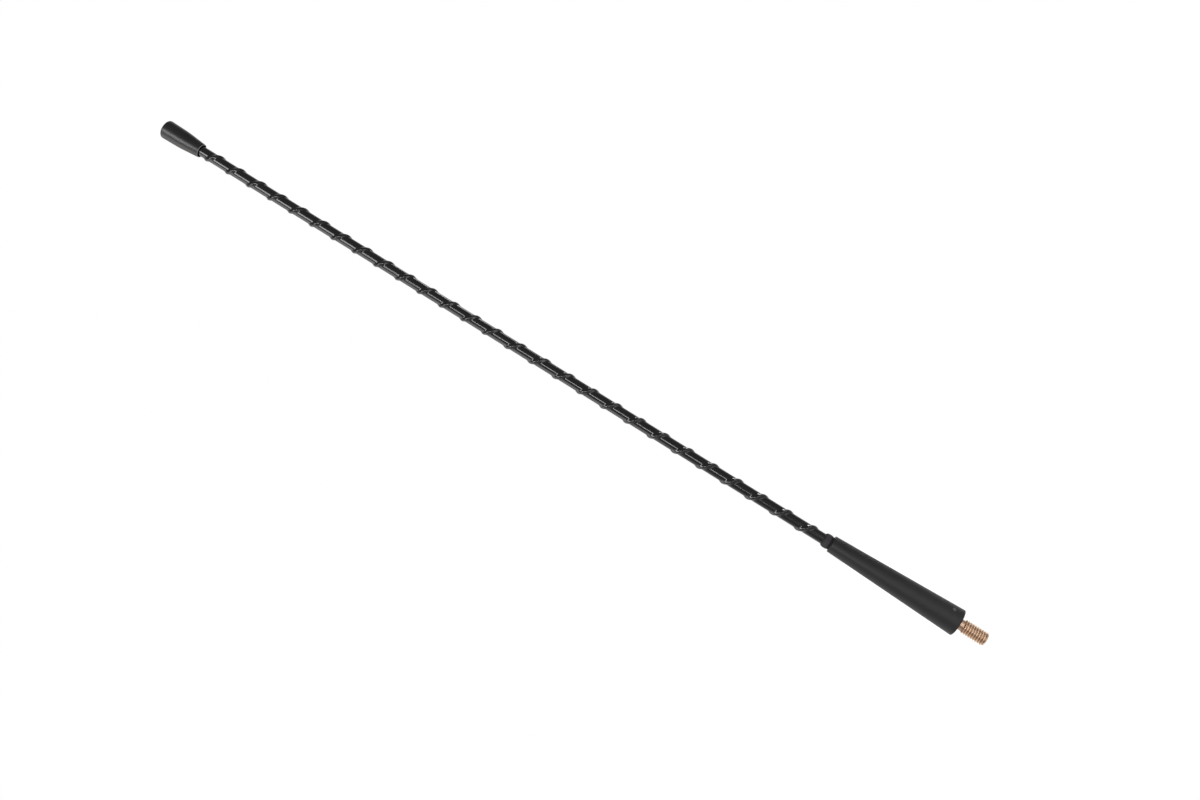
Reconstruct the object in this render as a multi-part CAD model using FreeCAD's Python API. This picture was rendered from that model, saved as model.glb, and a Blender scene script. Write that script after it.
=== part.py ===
"""Roof antenna for a car: a thin whip with a spiral ridge, a moulded tip cap and a tapered
handle with a threaded stud. Millimetres, +Z along the mast to the tip. The origin is the
middle of the handle's bottom face, which seats on the car's antenna foot."""

import FreeCAD
import Part
import math
import os

# Threaded stud: the lower end of the turned brass ferrule, plain at the M6 thread's major diameter
stud_diameter = 5.9
stud_length = 11.9
stud_end_chamfer = 0.6
relief_diameter = 4.45
relief_length = 2.02
relief_lead = 0.3

# Ferrule inside the handle: a knurled head that grips the moulding, then a barrel with a socket
head_diameter = 7.0
head_length = 12.0
knurl_teeth = 16
knurl_depth = 0.25
barrel_diameter = 5.0
barrel_length = 27.0
socket_depth = 25.0
tail_hole_depth = 3.0

# Handle: one moulded taper over the ferrule and the lower end of the mast
handle_length = 56.2
handle_base_diameter = 11.14
handle_top_diameter = 6.91
handle_base_edge = 0.5
handle_top_edge = 0.45

# Collar: a small elastomer ring round the mast, seated on the handle
collar_length = 3.6
collar_foot_diameter = 5.36
collar_foot_length = 0.8
collar_diameter = 5.84
collar_upper_slope = 0.9
collar_top_diameter = 4.9

# Mast: glass-fibre rod with a copper conductor down its middle, in a jacket with a moulded ridge
rod_diameter = 3.0
conductor_diameter = 0.8
jacket_wall = 0.66
ridge_height = 0.52
ridge_crest_angle = 44.0
ridge_foot_angle = 100.0
ridge_run_out = 1.6
ridge_clear_of_collar = 2.0
ridge_start_angle = 91.7
lower_pitch = 11.349
lower_winding_top = 212.24
upper_pitch = 10.834

# Tip cap: a blind moulded cap over the end of the mast
cap_rim_height = 362.3
cap_length = 18.8
cap_rim_diameter = 6.04
cap_knee_height = 9.6
cap_diameter = 8.02
cap_top_edge = 0.5
cap_mast_depth = 6.0
cap_rod_depth = 8.0

# Fits: the thickness of an adhesive or moulded joint, and the cap's slide over the ridge
bond = 0.02
cap_clearance = 0.05

# How closely the swept ridge follows its true helix
sweep_tolerance = 0.01
sweep_angle_tolerance = 0.1

collar_top = handle_length + collar_length
ferrule_top = head_length + barrel_length
rod_bottom = ferrule_top - socket_depth
jacket_top = cap_rim_height + cap_mast_depth
rod_top = jacket_top + cap_rod_depth
jacket_diameter = rod_diameter + 2 * bond + 2 * jacket_wall
jacket_radius = jacket_diameter / 2
crest_radius = jacket_radius + ridge_height


def at(radius, height):
    """A point of a profile in the XZ plane."""
    return FreeCAD.Vector(radius, 0, height)


def turned(points):
    """A solid of revolution about the mast's axis, from the corners of its half section."""
    section = Part.Face(Part.makePolygon(points + points[:1]))
    return section.revolve(FreeCAD.Vector(0, 0, 0), FreeCAD.Vector(0, 0, 1), 360)


def cylinder(diameter, bottom, top):
    """A plain round bar or bore on the mast's axis."""
    base = FreeCAD.Vector(0, 0, bottom)
    return Part.makeCylinder(diameter / 2, top - bottom, base)


def stud():
    """The ferrule's lower end: the threaded length, its end chamfer and its relief neck."""
    thread = stud_diameter / 2
    relief = relief_diameter / 2
    return turned([
        at(0, -stud_length),
        at(thread - stud_end_chamfer, -stud_length),
        at(thread, -stud_length + stud_end_chamfer),
        at(thread, -relief_length - relief_lead),
        at(relief, -relief_length),
        at(relief, 0),
        at(0, 0),
    ])


def knurled_head():
    """The ferrule's head: a short prism with straight teeth all round."""
    points = []
    for i in range(2 * knurl_teeth):
        radius = head_diameter / 2 - (knurl_depth if i % 2 else 0)
        angle = math.pi * i / knurl_teeth
        points.append(FreeCAD.Vector(radius * math.cos(angle), radius * math.sin(angle), 0))
    outline = Part.makePolygon(points + points[:1])
    return Part.Face(outline).extrude(FreeCAD.Vector(0, 0, head_length))


def ferrule():
    """The turned brass ferrule, bored from the top for the rod and its conductor's tail."""
    barrel = cylinder(barrel_diameter, head_length, ferrule_top)
    whole = stud().fuse([knurled_head(), barrel])
    socket = cylinder(rod_diameter + 2 * bond, rod_bottom, ferrule_top)
    tail_hole = cylinder(conductor_diameter + 2 * bond, rod_bottom - tail_hole_depth, rod_bottom)
    return whole.cut(socket.fuse(tail_hole))


def conductor():
    """The copper wire down the rod's middle; its bare tail fills the hole under the socket."""
    return cylinder(conductor_diameter, rod_bottom - tail_hole_depth, rod_top)


def core_rod():
    """The springy glass-fibre rod, drawn round the conductor."""
    bore = cylinder(conductor_diameter + 2 * bond, rod_bottom, rod_top)
    return cylinder(rod_diameter, rod_bottom, rod_top).cut(bore)


def ridge_section(height, angle):
    """The ridge's section at one height: flanks that lean in to the crest, reaching past it
    and into the jacket's wall, turned to the given angle about the mast."""
    half_crest = math.radians(ridge_crest_angle / 2)
    half_foot = math.radians(ridge_foot_angle / 2)
    crest = FreeCAD.Vector(crest_radius * math.cos(half_crest), crest_radius * math.sin(half_crest), 0)
    foot = FreeCAD.Vector(jacket_radius * math.cos(half_foot), jacket_radius * math.sin(half_foot), 0)
    past_crest = crest + (crest - foot) * 0.3
    root = foot * ((jacket_radius + rod_diameter / 2) / 2 / jacket_radius)
    half = [root, foot, past_crest]
    mirrored = [FreeCAD.Vector(p.x, -p.y, 0) for p in reversed(half)]
    section = Part.makePolygon(half + mirrored + half[:1])
    section.rotate(FreeCAD.Vector(0, 0, 0), FreeCAD.Vector(0, 0, 1), angle)
    section.translate(FreeCAD.Vector(0, 0, height))
    return section


def ridge_stretch(bottom, top, angle, pitch):
    """A left-handed stretch of the ridge: its section twisted once round for each pitch."""
    start = FreeCAD.Vector(0, 0, bottom)
    path = Part.Wire(Part.makeLine(start, FreeCAD.Vector(0, 0, top)))
    guide = Part.makeLongHelix(pitch, top - bottom, 2 * crest_radius, 0, True)
    guide.rotate(FreeCAD.Vector(0, 0, 0), FreeCAD.Vector(0, 0, 1), angle)
    guide.translate(start)
    sweep = Part.BRepOffsetAPI.MakePipeShell(path)
    sweep.setAuxiliarySpine(Part.Wire(guide.Edges), True, 0)
    sweep.setTolerance(sweep_tolerance, sweep_tolerance, sweep_angle_tolerance)
    sweep.add(ridge_section(bottom, angle), False, False)
    sweep.build()
    sweep.makeSolid()
    return sweep.shape()


def jacket_stretch(bottom, top, angle, pitch, envelope):
    """A length of the jacket with its stretch of ridge, inside the ridge's envelope."""
    tube = cylinder(jacket_diameter, bottom, top)
    return tube.fuse(ridge_stretch(bottom, top, angle, pitch).common(envelope))


def mast_jacket():
    """The black jacket over the rod, moulded in one with its spiral ridge: a close upper
    winding and a wider lower one. The ridge's lower end runs out to the jacket as a cone,
    and its upper end goes into the tip cap."""
    ridge_bottom = collar_top + ridge_clear_of_collar
    lower_turns = (lower_winding_top - ridge_bottom) / lower_pitch
    upper_angle = ridge_start_angle - 360 * lower_turns
    envelope = turned([
        at(0, ridge_bottom),
        at(jacket_radius, ridge_bottom),
        at(crest_radius, ridge_bottom + ridge_run_out),
        at(crest_radius, jacket_top),
        at(0, jacket_top),
    ])
    whole = cylinder(jacket_diameter, ferrule_top, ridge_bottom).fuse([
        jacket_stretch(ridge_bottom, lower_winding_top, ridge_start_angle, lower_pitch, envelope),
        jacket_stretch(lower_winding_top, jacket_top, upper_angle, upper_pitch, envelope),
    ])
    return whole.cut(cylinder(rod_diameter + 2 * bond, ferrule_top, jacket_top))


def handle():
    """The tapered handle, moulded round the ferrule and the jacket's lower end."""
    base = handle_base_diameter / 2
    top = handle_top_diameter / 2
    slope = (base - top) / handle_length
    body = turned([
        at(0, 0),
        at(base - handle_base_edge, 0),
        at(base - slope * handle_base_edge, handle_base_edge),
        at(top + slope * handle_top_edge, handle_length - handle_top_edge),
        at(top - handle_top_edge, handle_length),
        at(0, handle_length),
    ])
    head_room = cylinder(head_diameter + 2 * bond, 0, head_length)
    barrel_room = cylinder(barrel_diameter + 2 * bond, head_length, ferrule_top)
    mast_room = cylinder(jacket_diameter + 2 * bond, ferrule_top, handle_length)
    return body.cut(head_room.fuse([barrel_room, mast_room]))


def collar():
    """The elastomer collar: a narrow foot on the handle and a barrel above it."""
    bore = jacket_radius + bond
    foot = collar_foot_diameter / 2
    belly = collar_diameter / 2
    belly_bottom = handle_length + collar_foot_length
    return turned([
        at(bore, handle_length),
        at(foot, handle_length),
        at(foot, belly_bottom),
        at(belly, belly_bottom),
        at(belly, collar_top - collar_upper_slope),
        at(collar_top_diameter / 2, collar_top),
        at(bore, collar_top),
    ])


def tip_cap():
    """The blind tip cap: a flared lower part, a thick upper part and a stepped bore."""
    cap_top = cap_rim_height + cap_length
    rim = cap_rim_diameter / 2
    full = cap_diameter / 2
    body = turned([
        at(0, cap_rim_height),
        at(rim, cap_rim_height),
        at(full, cap_rim_height + cap_knee_height),
        at(full, cap_top - cap_top_edge),
        at(full - cap_top_edge, cap_top),
        at(0, cap_top),
    ])
    mast_bore = cylinder(2 * (crest_radius + cap_clearance), cap_rim_height, jacket_top)
    rod_bore = cylinder(rod_diameter + 2 * bond, jacket_top, rod_top)
    return body.cut(mast_bore.fuse(rod_bore))


pieces = {
    "ferrule": ferrule,
    "conductor": conductor,
    "core_rod": core_rod,
    "mast_jacket": mast_jacket,
    "handle": handle,
    "collar": collar,
    "tip_cap": tip_cap,
}
os.makedirs("parts", exist_ok=True)
for name, make in pieces.items():
    shape = make()
    if len(shape.Solids) == 1:
        shape = shape.Solids[0]
    print(name, shape.ShapeType, shape.isValid(), len(shape.Faces), round(shape.Volume, 2))
    shape.exportStep(os.path.join("parts", name + ".step"))
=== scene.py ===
"""A car's roof antenna on a white ground: a turned brass ferrule with its threaded stud, a black
whip with a spiral ridge, a tapered handle, a rubber collar and a tip cap."""

import math

import bmesh
import bpy
from mathutils import Matrix, Quaternion, Vector


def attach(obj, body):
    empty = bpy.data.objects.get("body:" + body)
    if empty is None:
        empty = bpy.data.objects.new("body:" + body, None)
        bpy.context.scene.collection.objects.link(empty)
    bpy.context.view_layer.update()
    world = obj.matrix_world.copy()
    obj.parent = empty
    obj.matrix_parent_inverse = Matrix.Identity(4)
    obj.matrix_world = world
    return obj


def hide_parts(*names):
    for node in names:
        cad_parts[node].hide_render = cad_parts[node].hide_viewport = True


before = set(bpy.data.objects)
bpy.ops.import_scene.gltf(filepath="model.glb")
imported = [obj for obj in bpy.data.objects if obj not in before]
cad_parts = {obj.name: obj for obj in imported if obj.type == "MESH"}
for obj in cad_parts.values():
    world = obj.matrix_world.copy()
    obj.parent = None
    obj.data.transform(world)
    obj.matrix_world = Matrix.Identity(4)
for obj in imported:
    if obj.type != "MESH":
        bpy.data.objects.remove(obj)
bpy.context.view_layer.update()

# Camera: it looks at the antenna from the side and a little from below the whip's middle, and is
# rolled so that the whip runs from the upper left to the handle at the lower right.
tilt = math.radians(7.5)
roll = math.radians(31.96)
distance = 0.5
middle_of_view = Vector((-0.00016, 0, 0.16298))
looking = Vector((0, math.cos(tilt), math.sin(tilt)))
down_the_whip = Vector((0, math.sin(tilt), -math.cos(tilt)))
across_the_whip = Vector((1, 0, 0))
picture_right = math.cos(roll) * down_the_whip + math.sin(roll) * across_the_whip
picture_up = math.cos(roll) * across_the_whip - math.sin(roll) * down_the_whip
camera = bpy.data.cameras.new("camera")
camera.lens = 37.5
camera.sensor_width = 36
camera.clip_start = 0.01
viewpoint = bpy.data.objects.new("camera", camera)
bpy.context.scene.collection.objects.link(viewpoint)
place = middle_of_view - distance * looking
turn = Matrix((picture_right, picture_up, -looking)).transposed()
viewpoint.matrix_world = Matrix.Translation(place) @ turn.to_4x4()
bpy.context.scene.camera = viewpoint

# Ferrule: one piece of brass bar, turned on a lathe. Its lower end is the stud with its rolled
# thread, its knurled head grips the handle's moulding, and its bored barrel holds the whip's rod.
# All sizes are in millimetres, and vertices closer together than the weld become one.
MM = 0.001
weld = 0.002
stud_radius = 2.95
stud_end = -11.9
stud_point = 0.6
centre_mark_radius = 0.5
centre_mark_depth = 0.25
thread_start = stud_end - 1.5
thread_end = -2.02
thread_lead = 0.3
thread_pitch = 1.0
thread_turns = 13
thread_crest = 2.92
thread_root = 2.33
root_edge = 2.385
# The thread's section: shares of its pitch, with the radius at each
thread_form = [
    (0, thread_crest), (0.125, thread_crest), (0.44, root_edge), (0.49, thread_root),
    (0.635, thread_root), (0.685, root_edge),
]
neck_radius = 2.225
head_radius = 3.5
head_length = 12.0
knurl_teeth = 16
knurl_depth = 0.25
knurl_fade_radius = 2.6
barrel_radius = 2.5
ferrule_top = 39.0
ferrule_edge = 0.15
socket_radius = 1.52
socket_bottom = 14
tail_hole_radius = 0.42
tail_hole_bottom = 11
ferrule_columns = 96


def turned(bm, corners, columns, closed=False):
    """Spins a line of (radius, height) corners in millimetres about the whip's axis."""
    line = [bm.verts.new((radius, 0, height)) for radius, height in corners]
    pairs = list(zip(line, line[1:] + line[:1] if closed else line[1:]))
    edges = [bm.edges.new(pair) for pair in pairs]
    bmesh.ops.spin(bm, geom=line + edges, cent=(0, 0, 0), axis=(0, 0, 1), dvec=(0, 0, 0),
                   angle=2 * math.pi, steps=columns, use_merge=True, use_duplicate=False)
    bmesh.ops.remove_doubles(bm, verts=bm.verts, dist=weld)


def ring(bm, radius, height):
    """The edges of the ring that has this radius and height, to a few hundredths."""
    def on_it(vert):
        near = abs(vert.co.z - height) < 0.005
        return near and abs(math.hypot(vert.co.x, vert.co.y) - radius) < 0.02
    return [edge for edge in bm.edges if all(on_it(vert) for vert in edge.verts)]


def round_off(bm, rings, width, segments):
    """Rounds the corners at these rings, as a cutter or a mould's edge leaves them."""
    edges = [edge for radius, height in rings for edge in ring(bm, radius, height)]
    bmesh.ops.bevel(bm, geom=edges, offset=width, segments=segments, profile=0.5,
                    affect="EDGES", material=-1)


def at_radius(vert, radius):
    """Moves the vertex straight in or out to this radius."""
    share = radius / math.hypot(vert.co.x, vert.co.y)
    vert.co.x *= share
    vert.co.y *= share


def finished(bm, name, sharp=35):
    """Makes the mesh a piece in metres, its faces outwards, that rides on the CAD body."""
    bmesh.ops.remove_doubles(bm, verts=bm.verts, dist=weld)
    bmesh.ops.recalc_face_normals(bm, faces=bm.faces)
    bmesh.ops.scale(bm, vec=(MM, MM, MM), verts=bm.verts)
    mesh = bpy.data.meshes.new(name)
    bm.to_mesh(mesh)
    bm.free()
    mesh.shade_smooth()
    mesh.set_sharp_from_angle(angle=math.radians(sharp))
    piece = bpy.data.objects.new(name, mesh)
    bpy.context.scene.collection.objects.link(piece)
    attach(piece, "root")
    return piece


# The thread: its section is drawn up the stud and spun with a rise of one pitch a turn
bm = bmesh.new()
line = []
for turn_number in range(thread_turns):
    for share, radius in thread_form:
        height = thread_start + (turn_number + share) * thread_pitch
        line.append(bm.verts.new((radius, 0, height)))
edges = [bm.edges.new(pair) for pair in zip(line, line[1:])]
bmesh.ops.spin(bm, geom=line + edges, cent=(0, 0, 0), axis=(0, 0, 1),
               dvec=(0, 0, thread_pitch / ferrule_columns), angle=2 * math.pi,
               steps=ferrule_columns, use_merge=False, use_duplicate=False)
bmesh.ops.remove_doubles(bm, verts=bm.verts, dist=weld)
for vert in bm.verts:
    # It ends at the stud's chamfered point and fades into the plain neck
    radius = math.hypot(vert.co.x, vert.co.y)
    vert.co.z = min(max(vert.co.z, stud_end), thread_end)
    point = stud_radius - max(0, stud_end + stud_point - vert.co.z)
    faded = max(0, vert.co.z - thread_end + thread_lead) / thread_lead
    lead = stud_radius - faded * (stud_radius - neck_radius)
    at_radius(vert, min(radius, point, max(lead, neck_radius)))
bmesh.ops.remove_doubles(bm, verts=bm.verts, dist=weld)
turned(bm, [
    (0, stud_end + centre_mark_depth), (centre_mark_radius, stud_end), (thread_root, stud_end),
], ferrule_columns)
turned(bm, [
    (neck_radius, thread_end), (neck_radius, 0), (head_radius, 0), (head_radius, head_length),
    (barrel_radius, head_length), (barrel_radius, ferrule_top), (socket_radius, ferrule_top),
    (socket_radius, socket_bottom), (tail_hole_radius, socket_bottom),
    (tail_hole_radius, tail_hole_bottom), (0, tail_hole_bottom),
], ferrule_columns)
head_rims = [(head_radius, 0), (head_radius, head_length)]
round_off(bm, head_rims + [(barrel_radius, ferrule_top)], ferrule_edge, 2)
for vert in bm.verts:
    # The knurl: straight teeth round the head, which fade out towards its middle
    radius = math.hypot(vert.co.x, vert.co.y)
    if radius > knurl_fade_radius and vert.co.z > -0.01:
        part_of_tooth = math.degrees(math.atan2(vert.co.y, vert.co.x)) % (360 / knurl_teeth)
        valley = 1 - abs(part_of_tooth / (180 / knurl_teeth) - 1)
        share = (radius - knurl_fade_radius) / (head_radius - knurl_fade_radius)
        at_radius(vert, radius - knurl_depth * valley * share)
ferrule = finished(bm, "ferrule_turned")


def linear(hex_colour):
    """An sRGB hex colour as the linear colour that a shader takes."""
    parts = [int(hex_colour[i:i + 2], 16) / 255 for i in (1, 3, 5)]
    return [p / 12.92 if p <= 0.04045 else ((p + 0.055) / 1.055) ** 2.4 for p in parts] + [1]


def add(tree, kind, settings={}, sockets={}):
    """Adds a node with its settings; a socket takes a value or another node's output."""
    node = tree.nodes.new("ShaderNode" + kind)
    for key, value in settings.items():
        setattr(node, key, value)
    for key, value in sockets.items():
        if isinstance(value, bpy.types.NodeSocket):
            tree.links.new(value, node.inputs[key])
        else:
            node.inputs[key].default_value = value
    return node


def start_material(name):
    """A new material's empty node tree, with the coordinates that its patterns read."""
    material = bpy.data.materials.new(name)
    material.use_nodes = True
    tree = material.node_tree
    tree.nodes.clear()
    where = add(tree, "TexCoord").outputs["Object"]
    return material, tree, where


# Turned brass: coppery on the crests, and brown towards the axis, which is painted shade in the
# thread's grooves and also darkens the narrower neck, stud end and barrel. The tool's rings are
# finer on the real one, and are drawn coarse enough to show;
# a wave texture goes through 20 radians in each unit of its scale
groove_shade_ends = 2.85
tarnish_patch = 1.5
ring_spacing = 0.5
ring_depth = 0.01
brass, tree, where = start_material("turned brass")
flat = add(tree, "VectorMath", {"operation": "MULTIPLY"}, {0: where, 1: (1, 1, 0)})
radius = add(tree, "VectorMath", {"operation": "LENGTH"}, {0: flat.outputs["Vector"]})
# Painted shade: the colour darkens from the crests towards the thread's root radius and stays dark
# below it
out_of_groove_shade = add(tree, "MapRange", {}, {
    "Value": radius.outputs["Value"], "From Min": thread_root * MM, "From Max": groove_shade_ends * MM,
})
cloud = add(tree, "TexNoise", {}, {
    "Vector": where, "Scale": 1 / (tarnish_patch * MM), "Detail": 3,
})
bright = add(tree, "Mix", {"data_type": "RGBA"}, {
    "Factor": cloud.outputs["Fac"], 6: linear("#ecd5bb"), 7: linear("#e0c4a9"),
})
# The brown is the painted shade of the grooves; the bright tones are the crests
colour = add(tree, "Mix", {"data_type": "RGBA"}, {
    "Factor": out_of_groove_shade.outputs["Result"], 6: linear("#a98d7a"), 7: bright.outputs[2],
})
rings = add(tree, "TexWave", {"bands_direction": "Z"}, {
    "Vector": where, "Scale": 2 * math.pi / 20 / (ring_spacing * MM), "Distortion": 0.6,
})
relief = add(tree, "Bump", {}, {
    "Strength": 0.1, "Distance": ring_depth * MM, "Height": rings.outputs["Fac"],
})
surface = add(tree, "BsdfPrincipled", {}, {
    "Base Color": colour.outputs[2], "Metallic": 1, "Roughness": 0.3,
    "Normal": relief.outputs["Normal"],
})
add(tree, "OutputMaterial", {}, {"Surface": surface.outputs["BSDF"]})
ferrule.data.materials.append(brass)
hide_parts("ferrule")

# Conductor: the copper wire down the rod's middle, drawn through a die. The CAD node stays and
# shows only when the antenna is taken apart.
die_line = 0.05

# Drawn copper: long fine lines from the die, in two tones
copper, tree, where = start_material("drawn copper")
along = add(tree, "Mapping", {}, {"Vector": where, "Scale": (1, 1, 0.02)})
lines = add(tree, "TexNoise", {}, {
    "Vector": along.outputs["Vector"], "Scale": 1 / (die_line * MM), "Detail": 2,
})
colour = add(tree, "Mix", {"data_type": "RGBA"}, {
    "Factor": lines.outputs["Fac"], 6: linear("#d78a63"), 7: linear("#b76b45"),
})
surface = add(tree, "BsdfPrincipled", {}, {
    "Base Color": colour.outputs[2], "Metallic": 1, "Roughness": 0.35,
})
add(tree, "OutputMaterial", {}, {"Surface": surface.outputs["BSDF"]})
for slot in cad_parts["conductor"].material_slots:
    slot.material = copper

# Core rod: the springy middle of the whip, glass fibres drawn straight in polyester resin round
# the conductor. It is bonded into the ferrule's socket, and the CAD node stays.
strand_width = 0.15
strand_depth = 0.02

# Pultruded glass fibre: pale green, with bundles of fibres that show as lines along the rod
glass_fibre, tree, where = start_material("pultruded glass fibre")
along = add(tree, "Mapping", {}, {"Vector": where, "Scale": (1, 1, 0.01)})
strands = add(tree, "TexNoise", {}, {
    "Vector": along.outputs["Vector"], "Scale": 1 / (strand_width * MM), "Detail": 4,
})
colour = add(tree, "Mix", {"data_type": "RGBA"}, {
    "Factor": strands.outputs["Fac"], 6: linear("#d9dcc0"), 7: linear("#b4b894"),
})
relief = add(tree, "Bump", {}, {
    "Strength": 0.3, "Distance": strand_depth * MM, "Height": strands.outputs["Fac"],
})
surface = add(tree, "BsdfPrincipled", {}, {
    "Base Color": colour.outputs[2], "Roughness": 0.4, "Normal": relief.outputs["Normal"],
})
add(tree, "OutputMaterial", {}, {"Surface": surface.outputs["BSDF"]})
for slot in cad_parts["core_rod"].material_slots:
    slot.material = glass_fibre

# Whip jacket: the gloss black cover of the rod, moulded in one with the spiral ridge that keeps
# the wind from humming. The ridge is wound to the left, a little wider below than above, with
# one short turn between, and runs out just over the collar.
jacket_radius = 2.18
jacket_bore = socket_radius
jacket_top = 368.3
ridge_bottom = 61.8
ridge_height = 0.52
ridge_half_width = math.radians(56)
ridge_run_out = 1.6
ridge_start_angle = math.radians(91.7)
windings = [
    (138.45, 11.348), (171.98, 11.176), (212.65, 11.619), (228.37, 10.48), (jacket_top, 10.84),
]
jacket_columns = 56
steps_a_turn = 44

bm = bmesh.new()
bottom = ridge_bottom
angle = ridge_start_angle
for top, pitch in windings:
    while top - bottom > 0.01:
        # One turn: the round section with its raised ridge, twisted as it rises
        rise = min(pitch, top - bottom)
        one_turn = bmesh.new()
        section = bmesh.ops.create_circle(one_turn, cap_ends=False, segments=jacket_columns,
                                          radius=jacket_radius)["verts"]
        for vert in section:
            off_crest = math.atan2(vert.co.y, vert.co.x)
            if abs(off_crest) < ridge_half_width:
                wave = (1 + math.cos(math.pi * off_crest / ridge_half_width)) / 2
                vert.co *= (jacket_radius + ridge_height * wave) / jacket_radius
        bmesh.ops.rotate(one_turn, verts=section, cent=(0, 0, 0),
                         matrix=Matrix.Rotation(angle, 3, "Z"))
        bmesh.ops.translate(one_turn, verts=section, vec=(0, 0, bottom))
        steps = round(steps_a_turn * rise / pitch)
        twist = 2 * math.pi * rise / pitch
        bmesh.ops.spin(one_turn, geom=section + list(one_turn.edges), cent=(0, 0, 0),
                       axis=(0, 0, 1), dvec=(0, 0, rise / steps), angle=-twist,
                       steps=steps, use_merge=False, use_duplicate=False)
        mesh = bpy.data.meshes.new("turn")
        one_turn.to_mesh(mesh)
        one_turn.free()
        bm.from_mesh(mesh)
        bpy.data.meshes.remove(mesh)
        bottom += rise
        angle -= twist
bmesh.ops.remove_doubles(bm, verts=bm.verts, dist=weld)
for vert in bm.verts:
    share = min(max((vert.co.z - ridge_bottom) / ridge_run_out, 0), 1)
    radius = math.hypot(vert.co.x, vert.co.y)
    at_radius(vert, jacket_radius + (radius - jacket_radius) * share * share * (3 - 2 * share))

# The plain lower end goes down into the handle, and the bore joins both ends
lower = [edge for edge in bm.edges if edge.is_boundary and edge.verts[0].co.z < ridge_bottom + 1]
upper = [edge for edge in bm.edges if edge.is_boundary and edge.verts[0].co.z > jacket_top - 1]
bores = []
for rim, heights in ((lower, [ferrule_top, ferrule_top]), (upper, [jacket_top])):
    for i, height in enumerate(heights):
        grown = bmesh.ops.extrude_edge_only(bm, edges=rim)["geom"]
        rim = [item for item in grown if isinstance(item, bmesh.types.BMEdge) and item.is_boundary]
        inwards = i == len(heights) - 1
        for vert in {vert for edge in rim for vert in edge.verts}:
            at_radius(vert, jacket_bore if inwards else jacket_radius)
            vert.co.z = height
    bores += rim
bmesh.ops.bridge_loops(bm, edges=bores)
jacket = finished(bm, "mast_jacket_spiral", 50)

# Gloss black jacket: shiny from its mould, so that lamps draw a clean line along it, with a
# shine that changes a little in long patches
shine_patch = 1.2
gloss_black, tree, where = start_material("gloss black jacket")
along = add(tree, "Mapping", {}, {"Vector": where, "Scale": (1, 1, 0.25)})
patches = add(tree, "TexNoise", {}, {
    "Vector": along.outputs["Vector"], "Scale": 1 / (shine_patch * MM), "Detail": 2,
})
rough = add(tree, "MapRange", {}, {
    "Value": patches.outputs["Fac"], "To Min": 0.15, "To Max": 0.2,
})
colour = add(tree, "Mix", {"data_type": "RGBA"}, {
    "Factor": patches.outputs["Fac"], 6: linear("#121011"), 7: linear("#191718"),
})
surface = add(tree, "BsdfPrincipled", {}, {
    "Base Color": colour.outputs[2], "Roughness": rough.outputs["Result"],
})
add(tree, "OutputMaterial", {}, {"Surface": surface.outputs["BSDF"]})
jacket.data.materials.append(gloss_black)
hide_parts("mast_jacket")

# Handle: one matt charcoal moulding over the ferrule and the whip's lower end, tapered for the
# fingers that screw the antenna in. Its rims are rounded.
handle_length = 56.2
handle_base_radius = 5.57
handle_top_radius = 3.455
handle_base_edge = 0.5
handle_top_edge = 0.4
moulded_gap = 0.02
mast_room = jacket_radius + moulded_gap
barrel_room = barrel_radius + moulded_gap
head_room = head_radius + moulded_gap
bm = bmesh.new()
turned(bm, [
    (handle_base_radius, 0), (handle_top_radius, handle_length), (mast_room, handle_length),
    (mast_room, ferrule_top), (barrel_room, ferrule_top), (barrel_room, head_length),
    (head_room, head_length), (head_room, 0),
], 128, closed=True)
round_off(bm, [(handle_base_radius, 0)], handle_base_edge, 5)
round_off(bm, [(handle_top_radius, handle_length)], handle_top_edge, 5)
handle = finished(bm, "handle_moulded")

# Matt charcoal plastic: the mould's spark-eroded grain, drawn a little coarse, faint lines where
# the melt flowed along, and a small pale scuff near the lower rim
grain_width = 0.12
grain_depth = 0.003
flow_width = 1.5
scuff_place = (3.68 * MM, -3.97 * MM, 4.5 * MM)
scuff_size = 0.9
charcoal, tree, where = start_material("matt moulded plastic")
grain = add(tree, "TexNoise", {}, {
    "Vector": where, "Scale": 1 / (grain_width * MM), "Detail": 3,
})
along = add(tree, "Mapping", {}, {"Vector": where, "Scale": (1, 1, 0.05)})
flow = add(tree, "TexNoise", {}, {
    "Vector": along.outputs["Vector"], "Scale": 1 / (flow_width * MM), "Detail": 3,
})
colour = add(tree, "Mix", {"data_type": "RGBA"}, {
    "Factor": flow.outputs["Fac"], 6: linear("#18181a"), 7: linear("#1e1d1f"),
})
off_scuff = add(tree, "VectorMath", {"operation": "DISTANCE"}, {0: where, 1: scuff_place})
scuff = add(tree, "MapRange", {}, {
    "Value": off_scuff.outputs["Value"], "From Min": scuff_size * MM,
    "From Max": 0.3 * scuff_size * MM, "To Max": 0.5,
})
scuffed = add(tree, "Math", {"operation": "MULTIPLY"}, {
    0: scuff.outputs["Result"], 1: flow.outputs["Fac"],
})
colour = add(tree, "Mix", {"data_type": "RGBA"}, {
    "Factor": scuffed.outputs[0], 6: colour.outputs[2], 7: linear("#a0a09e"),
})
relief = add(tree, "Bump", {}, {
    "Strength": 0.3, "Distance": grain_depth * MM, "Height": grain.outputs["Fac"],
})
surface = add(tree, "BsdfPrincipled", {}, {
    "Base Color": colour.outputs[2], "Roughness": 0.48, "Specular IOR Level": 0.35,
    "Normal": relief.outputs["Normal"],
})
add(tree, "OutputMaterial", {}, {"Surface": surface.outputs["BSDF"]})
handle.data.materials.append(charcoal)
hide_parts("handle")

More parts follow.
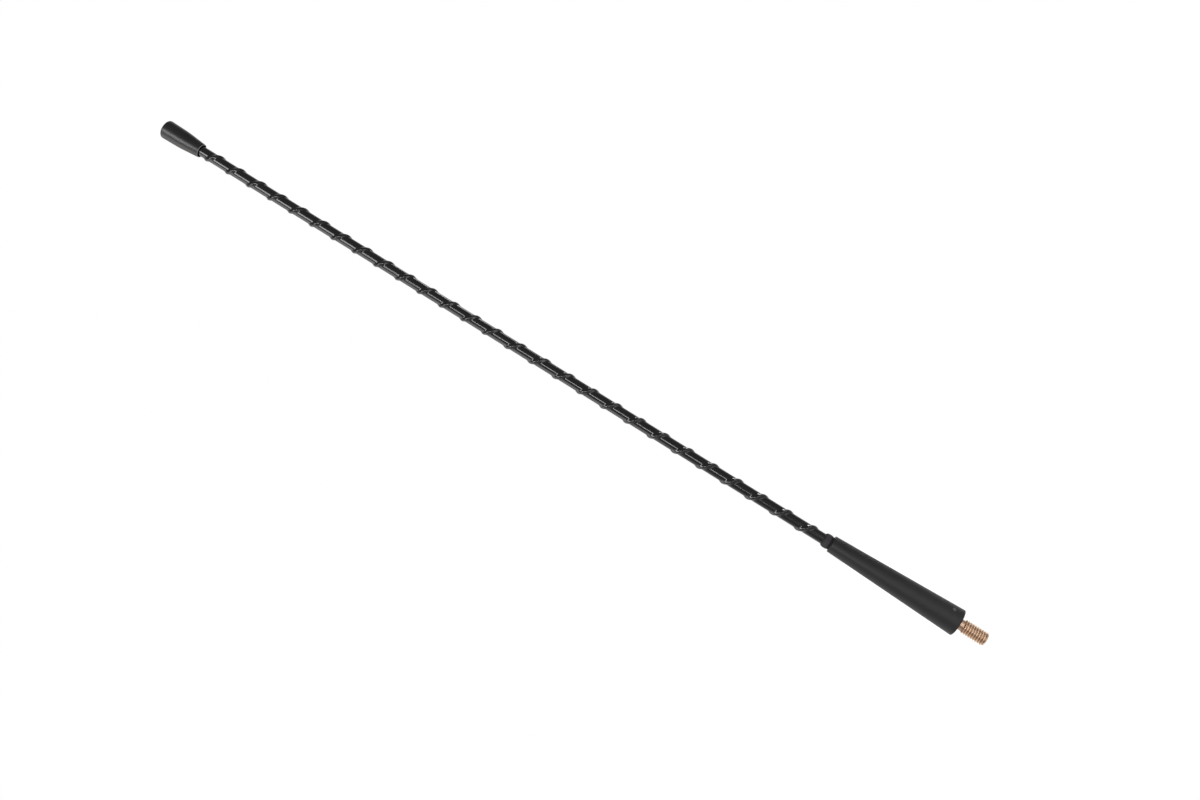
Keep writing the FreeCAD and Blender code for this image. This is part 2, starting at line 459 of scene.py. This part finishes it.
# Collar: a soft rubber ring, pushed down the whip until its narrow foot sits on the handle. It
# keeps water out of the joint.
collar_top = 59.8
foot = (2.69, 56.85)
belly_bottom = (2.9, 57.2)
belly_top = (2.93, 58.4)
shoulder = (2.8, 59.2)
lip = (2.36, collar_top)
collar_edge = 0.15
belly_round = 0.4
lip_edge = 0.1
bm = bmesh.new()
turned(bm, [
    (mast_room, handle_length), (foot[0], handle_length), foot, belly_bottom, belly_top,
    shoulder, lip, (mast_room, collar_top),
], 96, closed=True)
round_off(bm, [foot, belly_bottom, shoulder], collar_edge, 3)
round_off(bm, [belly_top], belly_round, 4)
round_off(bm, [lip], lip_edge, 3)
collar = finished(bm, "collar_rubber", 50)

# Rubber: dull and dusty, a little purple, with the coarse grain of a cheap mould, and painted
# shade that darkens its foot, where it meets the handle, and its lip, where it meets the whip
rubber_grain_width = 0.25
rubber_grain_depth = 0.05
foot_shade_fade = (56.9, 57.3)
lip_shade_fade = 58.6
rubber, tree, where = start_material("moulded rubber")
grain = add(tree, "TexNoise", {}, {
    "Vector": where, "Scale": 1 / (rubber_grain_width * MM), "Detail": 4,
})
dust = add(tree, "Mix", {"data_type": "RGBA"}, {
    "Factor": grain.outputs["Fac"], 6: linear("#242226"), 7: linear("#3a373c"),
})
height = add(tree, "SeparateXYZ", {}, {"Vector": where})
# Painted shade: near black at the foot, where the collar meets the handle, and part way at the
# lip, where it meets the whip
above_foot = add(tree, "MapRange", {}, {
    "Value": height.outputs["Z"], "From Min": foot_shade_fade[0] * MM, "From Max": foot_shade_fade[1] * MM,
})
below_lip = add(tree, "MapRange", {}, {
    "Value": height.outputs["Z"], "From Min": collar_top * MM, "From Max": lip_shade_fade * MM,
    "To Min": 0.3,
})
out_of_end_shade = add(tree, "Math", {"operation": "MULTIPLY"}, {
    0: above_foot.outputs["Result"], 1: below_lip.outputs["Result"],
})
# The near-black colour is the painted shade at both ends
colour = add(tree, "Mix", {"data_type": "RGBA"}, {
    "Factor": out_of_end_shade.outputs[0], 6: linear("#0d0c0e"), 7: dust.outputs[2],
})
relief = add(tree, "Bump", {}, {
    "Strength": 0.6, "Distance": rubber_grain_depth * MM, "Height": grain.outputs["Fac"],
})
surface = add(tree, "BsdfPrincipled", {}, {
    "Base Color": colour.outputs[2], "Roughness": 0.75, "Specular IOR Level": 0.3,
    "Normal": relief.outputs["Normal"],
})
add(tree, "OutputMaterial", {}, {"Surface": surface.outputs["BSDF"]})
collar.data.materials.append(rubber)
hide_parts("collar")

# Tip cap: a blind cap moulded in satin black plastic, pushed over the whip's end and glued. It
# widens from its thin rim to a soft knee, and its flat top has a rounded edge.
cap_rim = 362.3
cap_top = 381.1
rim = (3.01, cap_rim)
knee = (3.88, 371.4)
full_radius = 4.05
widest_from = 379.4
whip_bore = 2.75
rod_bore = socket_radius
rod_top = 376.3
knee_round = 1.6
top_round = 0.75
rim_round = 0.2
bm = bmesh.new()
turned(bm, [
    (0, cap_top), (full_radius, cap_top), (full_radius, widest_from), knee, rim,
    (whip_bore, cap_rim), (whip_bore, jacket_top), (rod_bore, jacket_top), (rod_bore, rod_top),
    (0, rod_top),
], 112)
round_off(bm, [knee], knee_round, 6)
round_off(bm, [(full_radius, cap_top)], top_round, 6)
round_off(bm, [rim], rim_round, 4)
cap = finished(bm, "tip_cap_moulded")

# Satin black plastic: from a polished mould, dulled a little by handling, with a painted highlight
# as a pale band at the rim's edge. Its grain is drawn a little coarse
satin_grain_width = 0.1
satin_grain_depth = 0.002
dulled_patch = 3
worn_width = 0.3
satin_black, tree, where = start_material("satin black plastic")
grain = add(tree, "TexNoise", {}, {
    "Vector": where, "Scale": 1 / (satin_grain_width * MM), "Detail": 2,
})
cloud = add(tree, "TexNoise", {}, {
    "Vector": where, "Scale": 1 / (dulled_patch * MM), "Detail": 3,
})
rough = add(tree, "MapRange", {}, {
    "Value": cloud.outputs["Fac"], "To Min": 0.32, "To Max": 0.4,
})
colour = add(tree, "Mix", {"data_type": "RGBA"}, {
    "Factor": cloud.outputs["Fac"], 6: linear("#171717"), 7: linear("#1d1d1d"),
})
height = add(tree, "SeparateXYZ", {}, {"Vector": where})
# Painted highlight: a pale band along the rim's edge, fading out within a few tenths of a
# millimetre
worn = add(tree, "MapRange", {}, {
    "Value": height.outputs["Z"], "From Min": (cap_rim + worn_width) * MM,
    "From Max": cap_rim * MM,
})
colour = add(tree, "Mix", {"data_type": "RGBA"}, {
    "Factor": worn.outputs["Result"], 6: colour.outputs[2], 7: linear("#787674"),
})
relief = add(tree, "Bump", {}, {
    "Strength": 0.1, "Distance": satin_grain_depth * MM, "Height": grain.outputs["Fac"],
})
surface = add(tree, "BsdfPrincipled", {}, {
    "Base Color": colour.outputs[2], "Roughness": rough.outputs["Result"],
    "Specular IOR Level": 0.4, "Normal": relief.outputs["Normal"],
})
add(tree, "OutputMaterial", {}, {"Surface": surface.outputs["BSDF"]})
cap.data.materials.append(satin_black)
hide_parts("tip_cap")

# Floor: a plain white sheet under the antenna, which stays white in the picture and, behind the
# antenna, in what metal and gloss mirror of it. It still takes the antenna's faint shadow. The
# sizes of the floor, the room and the lamps are in metres.
floor_height = -0.25
floor_reach = 3
away = (-0.35, 1, 0)
bm = bmesh.new()
bmesh.ops.create_grid(bm, x_segments=1, y_segments=1, size=floor_reach)
bmesh.ops.translate(bm, verts=bm.verts, vec=(0, 0, floor_height))
mesh = bpy.data.meshes.new("floor")
bm.to_mesh(mesh)
bm.free()
floor = bpy.data.objects.new("floor", mesh)
bpy.context.scene.collection.objects.link(floor)

# White paper: it glows as the ground that the camera and mirrors see, less so close to the
# antenna, where the plain sheet under the glow takes the shadow
glow_strength = 1.12
shaded_share = 0.86
shaded_within = 0.3
glow_behind = (-0.3, 0.3)
glow_in_front = 0.45
paper, tree, where = start_material("white paper")
path = add(tree, "LightPath")
seen = add(tree, "Math", {"operation": "MAXIMUM"}, {
    0: path.outputs["Is Camera Ray"], 1: path.outputs["Is Glossy Ray"],
})
seen = add(tree, "Math", {"operation": "MAXIMUM"}, {
    0: seen.outputs[0], 1: path.outputs["Is Transmission Ray"],
})
apart = add(tree, "VectorMath", {"operation": "LENGTH"}, {"Vector": where})
open_ground = add(tree, "MapRange", {}, {
    "Value": apart.outputs["Value"], "From Min": shaded_within, "From Max": 1,
    "To Min": shaded_share, "To Max": 1,
})
share = add(tree, "Math", {"operation": "MULTIPLY"}, {
    0: seen.outputs[0], 1: open_ground.outputs["Result"],
})
rearward = add(tree, "VectorMath", {"operation": "DOT_PRODUCT"}, {0: where, 1: away})
behind = add(tree, "MapRange", {}, {
    "Value": rearward.outputs["Value"], "From Min": glow_behind[0], "From Max": glow_behind[1],
    "To Min": glow_in_front, "To Max": 1,
})
strength = add(tree, "Math", {"operation": "MAXIMUM"}, {
    0: path.outputs["Is Camera Ray"], 1: behind.outputs["Result"],
})
strength = add(tree, "Math", {"operation": "MULTIPLY"}, {0: strength.outputs[0], 1: glow_strength})
sheet = add(tree, "BsdfDiffuse", {}, {"Color": linear("#f2f2f2")})
glow = add(tree, "Emission", {}, {"Color": (1, 1, 1, 1), "Strength": strength.outputs[0]})
both = add(tree, "MixShader", {}, {
    "Fac": share.outputs[0], 1: sheet.outputs["BSDF"], 2: glow.outputs["Emission"],
})
add(tree, "OutputMaterial", {}, {"Surface": both.outputs["Shader"]})
floor.data.materials.append(paper)

# Light: a soft grey room, which the camera sees as white, and mirrors too where it lies behind
# the antenna. The strip and upper lamps draw the line along the gloss whip and light the cap,
# the side, low and foot lamps lift the dark flanks, and the ridge lamp reaches the lowest turns.
room_level = 0.25
room_behind = (-0.1, 0.5)
room_in_front = 0.25
world = bpy.data.worlds.new("studio")
bpy.context.scene.world = world
world.use_nodes = True
tree = world.node_tree
tree.nodes.clear()
path = add(tree, "LightPath")
way = add(tree, "TexCoord").outputs["Generated"]
rearward = add(tree, "VectorMath", {"operation": "DOT_PRODUCT"}, {0: way, 1: away})
behind = add(tree, "MapRange", {}, {
    "Value": rearward.outputs["Value"], "From Min": room_behind[0], "From Max": room_behind[1],
    "To Min": room_in_front, "To Max": 1,
})
mirrored = add(tree, "Math", {"operation": "MAXIMUM"}, {
    0: path.outputs["Is Glossy Ray"], 1: path.outputs["Is Transmission Ray"],
})
mirrored = add(tree, "Math", {"operation": "MULTIPLY"}, {
    0: mirrored.outputs[0], 1: behind.outputs["Result"],
})
seen = add(tree, "Math", {"operation": "MAXIMUM"}, {
    0: path.outputs["Is Camera Ray"], 1: mirrored.outputs[0],
})
level = add(tree, "Math", {"operation": "MAXIMUM"}, {0: seen.outputs[0], 1: room_level})
sky = add(tree, "Background", {}, {"Color": (1, 1, 1, 1), "Strength": level.outputs[0]})
add(tree, "OutputWorld", {}, {"Surface": sky.outputs["Background"]})

# Each lamp: name, place, height on the antenna that it faces, width and height of its face, lean
# and spread in degrees, tint, power
lamps = [
    ("strip lamp", (-0.155, -0.58, 0.28), 0.28, (0.07, 0.36), 8, 180, "#ffffff", 1.3),
    ("upper lamp", (-0.31, -0.515, 0.68), 0.68, (0.25, 0.44), 8, 180, "#ffffff", 3.1),
    ("side lamp", (-0.8, -0.06, 0.57), 0.57, (0.72, 0.75), 0, 180, "#fff9f6", 3.3),
    ("ridge lamp", (0.92, 0.38, 0.43), 0.04, (0.8, 0.24), 14, 22, "#ffffff", 0.2),
    ("low lamp", (0.083, -0.594, -0.12), -0.12, (0.55, 0.22), 0, 180, "#ffffff", 0.7),
    ("foot lamp", (0.42, -0.42, -0.18), -0.18, (0.6, 0.11), 0, 180, "#ffffff", 0.42),
]
for name, spot, aim_height, (width, height), lean, spread, tint, power in lamps:
    lamp = bpy.data.lights.new(name, "AREA")
    lamp.shape = "RECTANGLE"
    lamp.size = width
    lamp.size_y = height
    lamp.spread = math.radians(spread)
    lamp.color = linear(tint)[:3]
    lamp.energy = power
    lit = bpy.data.objects.new(name, lamp)
    lit.location = spot
    towards = Vector((-spot[0], -spot[1], aim_height - spot[2]))
    aimed = towards.to_track_quat("-Z", "Y") @ Quaternion((0, 0, 1), math.radians(lean))
    lit.rotation_euler = aimed.to_euler()
    bpy.context.scene.collection.objects.link(lit)

bpy.context.scene.view_settings.view_transform = "Standard"
